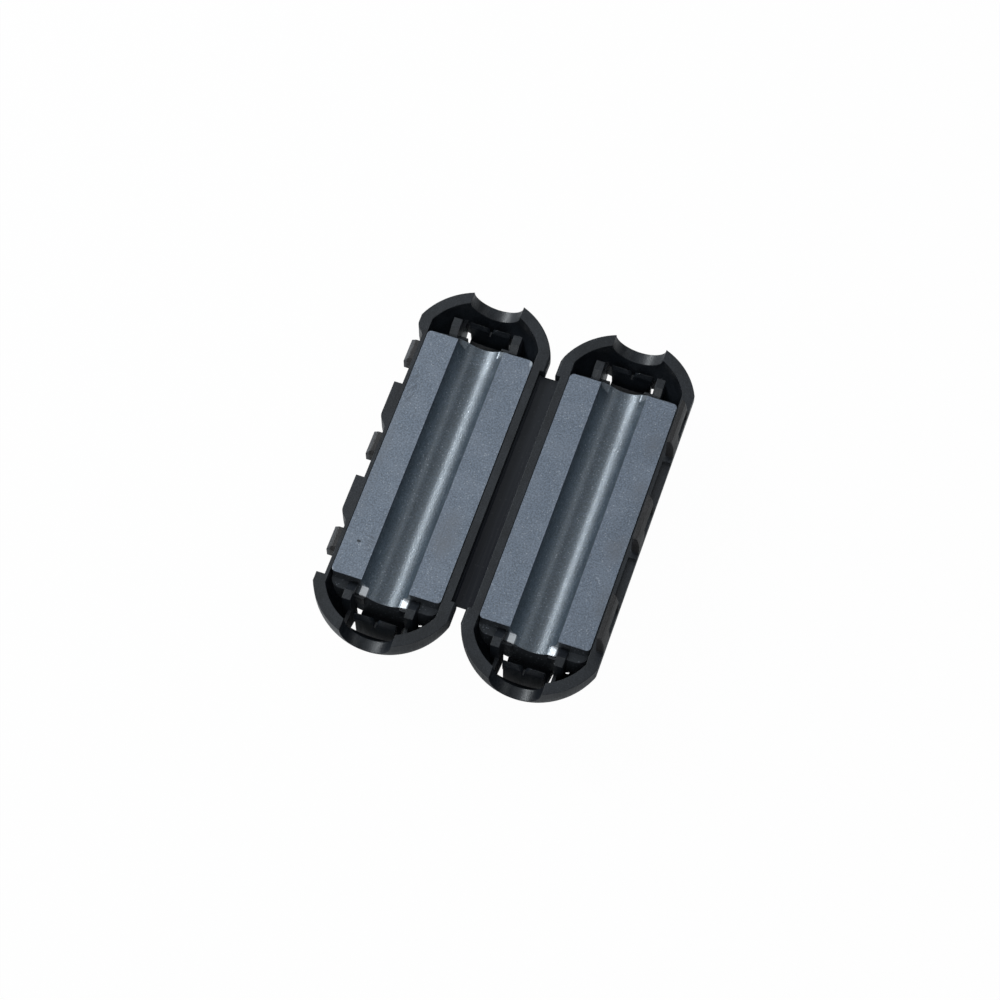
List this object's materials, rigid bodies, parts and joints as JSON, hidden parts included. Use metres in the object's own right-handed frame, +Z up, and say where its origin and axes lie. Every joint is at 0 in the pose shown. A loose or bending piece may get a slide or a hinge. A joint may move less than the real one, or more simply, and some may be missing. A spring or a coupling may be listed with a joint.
{
  "type": "clip-on ferrite bead",
  "caption": "Round clip-on ferrite bead for a cable, opened flat: two hinged black plastic half cases, each holding a channelled core, with hooks on one side and catch loops on the other.",
  "frame": {"origin": "middle of the opened bead, on the surface that both half cases lie on", "axes": "+X across the two half cases from the hook half to the catch half, +Y along the cable towards the curved ends of the hook bays, +Z up out of the open channels"},
  "size_m": [0.0328, 0.0452, 0.0111],
  "materials": {
    "case_nylon": "satin black moulded nylon with a fine texture",
    "strap_nylon": "smooth satin black moulded nylon",
    "ferrite": "lapped blue-grey sintered ferrite"
  },
  "bodies": {
    "hook_half": {"hook_case": "case_nylon", "hook_core": "ferrite"},
    "strap": {"hinge_strap": "strap_nylon"},
    "catch_half": {"catch_case": "case_nylon", "catch_core": "ferrite"}
  },
  "joints": [
    {"name": "hook_side_fold", "type": "hinge", "parent": "hook_half", "child": "strap", "pos_m": [-0.00112, 0, 0.0067], "axis": [0, -1, 0], "range_deg": [0, 90]},
    {"name": "catch_side_fold", "type": "hinge", "parent": "strap", "child": "catch_half", "pos_m": [0.00112, 0, 0.0067], "axis": [0, -1, 0], "range_deg": [0, 90]}
  ]
}
